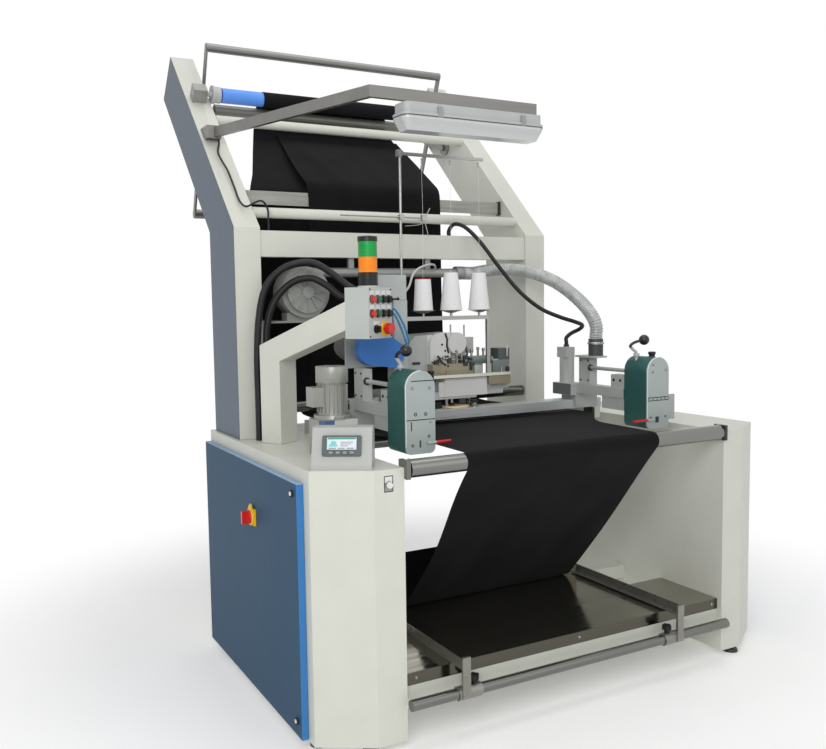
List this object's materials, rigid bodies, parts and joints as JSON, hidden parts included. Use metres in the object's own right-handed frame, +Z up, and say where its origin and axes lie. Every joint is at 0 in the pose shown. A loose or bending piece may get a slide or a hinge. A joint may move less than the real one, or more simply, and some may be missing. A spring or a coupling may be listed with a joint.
{
  "type": "tubular fabric sewing machine",
  "caption": "Industrial machine that sews open-width knitted cloth into a tube, with two cabinets, leaning posts, rollers, an overlock head, edge guides and a work lamp",
  "frame": {"origin": "on the floor, below the middle of the machine's outline", "axes": "X along the rollers to the operator's right, Y from the operator's side to the back, Z up"},
  "size_m": [2.0694, 1.924, 2.619],
  "materials": {
    "cream_paint": "satin",
    "blue_paint": "satin",
    "green_paint": "satin",
    "grey_paint": "satin",
    "white_paint": "gloss",
    "steel": "brushed",
    "chrome": "polished",
    "dark_steel": "satin",
    "black_plastic": "matte",
    "grey_plastic": "satin",
    "red_plastic": "gloss",
    "green_plastic": "gloss",
    "white_plastic": "gloss",
    "blue_roller": "gloss",
    "grey_rubber": "matte",
    "clear_hose": "gloss",
    "blue_tube": "gloss",
    "thread": "matte",
    "cloth": "matte"
  },
  "bodies": {
    "frame": {"left_cabinet": "cream_paint", "right_cabinet": "cream_paint", "levelling_feet": "dark_steel", "electrics_panel": "grey_plastic", "left_post": "cream_paint", "right_post": "cream_paint", "cross_members": "cream_paint", "frame_beams": "cream_paint", "table_bar": "steel", "tray": "steel", "chrome_tubes": "chrome", "bearing_blocks": "dark_steel", "spreader_bar": "steel", "lamp_arm": "steel", "lamp_housing": "grey_plastic", "lamp_diffuser": "white_plastic", "control_arm": "cream_paint", "control_box": "grey_plastic", "stack_light": "black_plastic", "hmi_panel": "black_plastic", "head_support": "grey_paint", "sewing_head": "white_paint", "cloth_plate": "chrome", "thread_stand": "steel", "thread_cones": "thread", "sewing_motor": "grey_paint", "belt_guard": "blue_paint", "gear_motor": "grey_paint", "blower": "grey_paint", "upper_fabric": "cloth", "lower_fabric": "cloth", "suction_hose": "clear_hose", "cable_conduit": "black_plastic", "outer_conduit": "black_plastic", "inner_conduit": "black_plastic", "air_tube": "blue_tube", "lamp_cable": "black_plastic"},
    "left_door": {"left_door": "blue_paint"},
    "main_switch": {"main_switch": "red_plastic"},
    "start_button": {"start_button": "white_plastic"},
    "estop_button": {"estop_button": "red_plastic"},
    "red_button": {"red_button": "red_plastic"},
    "green_button": {"green_button": "green_plastic"},
    "mode_selector": {"mode_selector": "black_plastic"},
    "front_roller": {"front_roller": "chrome"},
    "feed_roller": {"feed_roller": "chrome"},
    "take_up_roller": {"take_up_roller": "blue_roller"},
    "press_roller": {"press_roller": "grey_rubber"},
    "dancer_frame": {"dancer_frame": "steel"},
    "left_guide": {"left_guide": "green_paint", "left_guide_plate": "grey_paint"},
    "right_guide": {"right_guide": "green_paint", "right_guide_plate": "grey_paint"},
    "left_lever": {"left_lever": "black_plastic"},
    "right_lever": {"right_lever": "black_plastic"},
    "left_divider": {"left_divider": "dark_steel"},
    "right_divider": {"right_divider": "dark_steel"},
    "left_clamp_knob": {"left_clamp_knob": "black_plastic"},
    "right_clamp_knob": {"right_clamp_knob": "black_plastic"},
    "handwheel": {"handwheel": "black_plastic"}
  },
  "joints": [
    {"name": "door_hinge", "type": "hinge", "parent": "frame", "child": "left_door", "pos_m": [-0.97525, 0.288, 0.463], "axis": [0, 0, -1], "range_deg": [0, 110]},
    {"name": "main_switch_turn", "type": "hinge", "parent": "left_door", "child": "main_switch", "pos_m": [-0.99675, -0.32, 0.69], "axis": [1, 0, 0], "range_deg": [0, 90]},
    {"name": "start_button_press", "type": "slide", "parent": "frame", "child": "start_button", "axis": [0, 1, 0], "range_m": [0, 0.004], "stiffness_N_per_m": 300},
    {"name": "red_button_press", "type": "slide", "parent": "frame", "child": "red_button", "axis": [-0.4848, 0.8746, 0], "range_m": [0, 0.004], "stiffness_N_per_m": 300},
    {"name": "green_button_press", "type": "slide", "parent": "frame", "child": "green_button", "axis": [-0.4848, 0.8746, 0], "range_m": [0, 0.004], "stiffness_N_per_m": 300},
    {"name": "estop_press", "type": "slide", "parent": "frame", "child": "estop_button", "axis": [-0.4848, 0.8746, 0], "range_m": [0, 0.004], "stiffness_N_per_m": 300},
    {"name": "mode_selector_turn", "type": "hinge", "parent": "frame", "child": "mode_selector", "pos_m": [-0.61932, -0.59312, 1.359], "axis": [-0.4848, 0.8746, 0], "range_deg": [-45, 45]},
    {"name": "front_roller_turn", "type": "hinge", "parent": "frame", "child": "front_roller", "pos_m": [0.02775, -0.9, 0.923], "axis": [1, 0, 0], "continuous": true},
    {"name": "feed_roller_turn", "type": "hinge", "parent": "frame", "child": "feed_roller", "pos_m": [-0.02225, -0.31, 0.935], "axis": [1, 0, 0], "continuous": true},
    {"name": "take_up_roller_turn", "type": "hinge", "parent": "frame", "child": "take_up_roller", "pos_m": [-0.22425, 0.52954, 2.3661], "axis": [1, 0, 0], "continuous": true},
    {"name": "press_roller_turn", "type": "hinge", "parent": "frame", "child": "press_roller", "pos_m": [-0.22425, 0.60862, 2.31875], "axis": [1, 0, 0], "continuous": true},
    {"name": "dancer_swing", "type": "hinge", "parent": "frame", "child": "dancer_frame", "pos_m": [-0.22425, 0.62277, 2.23788], "axis": [1, 0, 0], "range_deg": [-12, 12]},
    {"name": "left_guide_slide", "type": "slide", "parent": "frame", "child": "left_guide", "axis": [1, 0, 0], "range_m": [-0.04, 0.02]},
    {"name": "right_guide_slide", "type": "slide", "parent": "frame", "child": "right_guide", "axis": [1, 0, 0], "range_m": [-0.06, 0.05], "deforming": ["suction_hose", "cable_conduit"]},
    {"name": "left_lever_turn", "type": "hinge", "parent": "left_guide", "child": "left_lever", "pos_m": [-0.56325, -0.664, 1.225], "axis": [0, 0, 1], "range_deg": [-60, 60]},
    {"name": "right_lever_turn", "type": "hinge", "parent": "right_guide", "child": "right_lever", "pos_m": [0.49375, -0.684, 1.225], "axis": [0, 0, 1], "range_deg": [-60, 60]},
    {"name": "left_divider_slide", "type": "slide", "parent": "frame", "child": "left_divider", "axis": [1, 0, 0], "range_m": [-0.12, 0.005]},
    {"name": "right_divider_slide", "type": "slide", "parent": "frame", "child": "right_divider", "axis": [1, 0, 0], "range_m": [-0.005, 0.18]},
    {"name": "left_clamp_knob_turn", "type": "hinge", "parent": "left_divider", "child": "left_clamp_knob", "pos_m": [-0.44725, -0.934, 0.1845], "axis": [0, 0, 1], "range_deg": [-90, 90]},
    {"name": "right_clamp_knob_turn", "type": "hinge", "parent": "right_divider", "child": "right_clamp_knob", "pos_m": [0.42275, -0.934, 0.1845], "axis": [0, 0, 1], "range_deg": [-90, 90]},
    {"name": "handwheel_turn", "type": "hinge", "parent": "frame", "child": "handwheel", "pos_m": [0.02375, -0.14, 1.165], "axis": [1, 0, 0], "continuous": true}
  ]
}
